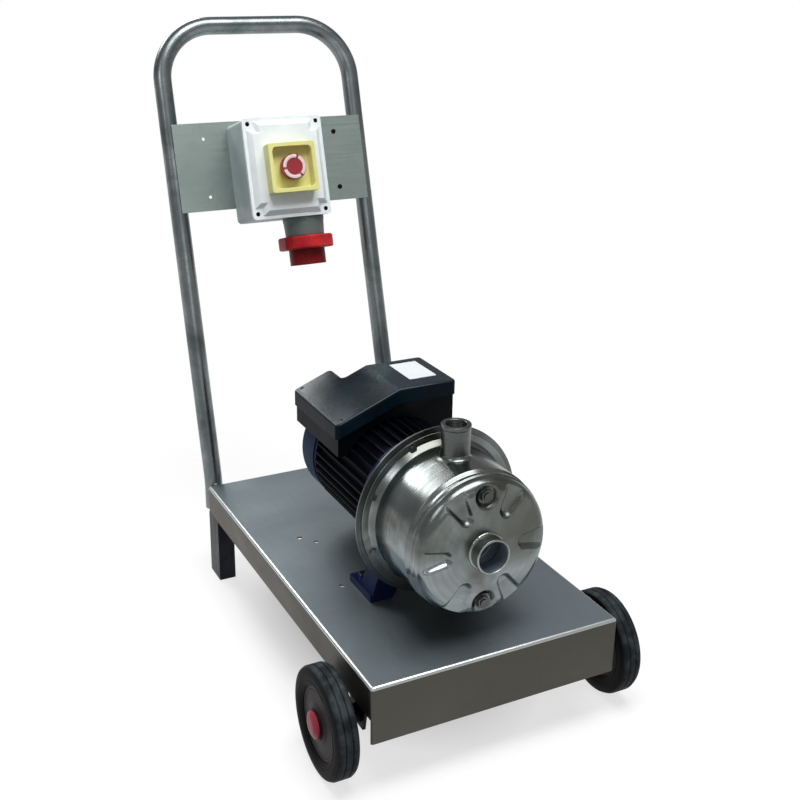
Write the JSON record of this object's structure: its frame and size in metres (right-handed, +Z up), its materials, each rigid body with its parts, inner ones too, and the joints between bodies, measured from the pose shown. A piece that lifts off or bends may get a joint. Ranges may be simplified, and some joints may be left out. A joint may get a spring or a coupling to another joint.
{
  "type": "trolley pump",
  "caption": "Centrifugal pump with blue motor on a steel tray trolley, with push handle, emergency stop and power inlet.",
  "frame": {"origin": "on the floor, below the middle of the whole object", "axes": "-Y is the front, with the wheels and the suction port; +Z is up; +X runs along the axle, to the right when seen from the front"},
  "size_m": [0.515, 0.9577, 0.9782],
  "materials": {
    "tray_steel": "ground stainless sheet",
    "tube_steel": "ground stainless tube",
    "plate_steel": "satin stainless plate",
    "axle_steel": "turned steel",
    "casing_steel": "pressed stainless, satin",
    "plug_steel": "stainless fastener",
    "core_steel": "stacked electrical sheet",
    "bearing_steel": "ground bearing steel",
    "casting_blue": "casting, painted dark blue",
    "cover_blue": "pressed sheet, painted blue",
    "winding_copper": "enamelled copper",
    "pin_brass": "bare brass",
    "blank_aluminium": "blank plate",
    "tyre_rubber": "black rubber",
    "seal_rubber": "black elastomer",
    "seal_ceramic": "ceramic, as plain as plastic",
    "seal_carbon": "carbon and elastomer",
    "gasket_white": "white sealing cord",
    "hub_plastic": "dark plastic",
    "black_plastic": "black plastic",
    "lid_black": "black plastic, half gloss",
    "box_grey": "light grey enclosure plastic",
    "shroud_yellow": "yellow plastic",
    "button_red": "red plastic with a white ring",
    "cap_red": "red plastic"
  },
  "bodies": {
    "trolley": {"tray": "tray_steel", "rear_leg_left": "tray_steel", "rear_leg_right": "tray_steel", "leg_end_plugs": "black_plastic", "handle_tube": "tube_steel", "cross_plate": "plate_steel", "axle": "axle_steel", "axle_brackets": "tray_steel", "axle_caps": "cap_red", "pump_casing": "casing_steel", "suction_nozzle": "casing_steel", "discharge_nozzle": "casing_steel", "casing_plugs": "plug_steel", "flange_bolts": "plug_steel", "seal_disc": "casing_steel", "casing_o_ring": "seal_rubber", "seal_seat_ring": "seal_ceramic", "first_stage_bowl": "casing_steel", "second_stage_bowl": "casing_steel", "motor_adapter": "casting_blue", "foot_bolts": "plug_steel", "motor_housing": "casting_blue", "stator_core": "core_steel", "stator_windings": "winding_copper", "bearing_outer_rings": "bearing_steel", "bearing_balls": "bearing_steel", "rear_shield": "casting_blue", "fan_cover": "cover_blue", "terminal_box_base": "black_plastic", "terminal_box_lid": "lid_black", "terminal_lid_screws": "plug_steel", "blank_rating_plate": "blank_aluminium", "start_capacitor": "hub_plastic", "terminal_block": "hub_plastic", "terminal_gland": "black_plastic", "control_box_base": "box_grey", "control_box_gasket": "gasket_white", "control_box_lid": "box_grey", "control_lid_screws": "box_grey", "control_box_bolts": "plug_steel", "stop_shroud": "shroud_yellow", "stop_contact_block": "hub_plastic", "inlet_body": "box_grey", "inlet_sleeve": "cap_red", "inlet_pins": "pin_brass"},
    "wheel_right": {"wheel_right_tyre": "tyre_rubber", "wheel_right_hub": "hub_plastic"},
    "wheel_left": {"wheel_left_tyre": "tyre_rubber", "wheel_left_hub": "hub_plastic"},
    "rotor": {"motor_shaft": "axle_steel", "rotor_core": "core_steel", "first_impeller": "casing_steel", "second_impeller": "casing_steel", "impeller_nut": "plug_steel", "seal_rotating_ring": "seal_carbon", "bearing_inner_rings": "bearing_steel", "cooling_fan": "black_plastic"},
    "stop_plunger": {"stop_stem": "black_plastic"},
    "stop_head": {"stop_button": "button_red"},
    "lock_ring": {"inlet_ring": "cap_red"}
  },
  "joints": [
    {"name": "wheel_right_spin", "type": "hinge", "parent": "trolley", "child": "wheel_right", "pos_m": [0.2325, -0.39886, 0.08], "axis": [1, 0, 0], "continuous": true},
    {"name": "wheel_left_spin", "type": "hinge", "parent": "trolley", "child": "wheel_left", "pos_m": [-0.2325, -0.39886, 0.08], "axis": [1, 0, 0], "continuous": true},
    {"name": "rotor_spin", "type": "hinge", "parent": "trolley", "child": "rotor", "pos_m": [-0.006, -0.23386, 0.308], "axis": [0, 1, 0], "continuous": true},
    {"name": "stop_press", "type": "slide", "parent": "trolley", "child": "stop_plunger", "axis": [0, 0.9603, -0.279], "range_m": [0, 0.005], "stiffness_N_per_m": 900, "springref_m": -0.004},
    {"name": "stop_twist", "type": "hinge", "parent": "stop_plunger", "child": "stop_head", "pos_m": [-0.008, 0.25366, 0.73136], "axis": [0, 0.9603, -0.279], "range_deg": [0, 45], "stiffness_Nm_per_rad": 0.04},
    {"name": "inlet_ring_turn", "type": "hinge", "parent": "trolley", "child": "lock_ring", "pos_m": [0.027, 0.2855, 0.58466], "axis": [0, 0.279, 0.9603], "range_deg": [0, 30]}
  ]
}
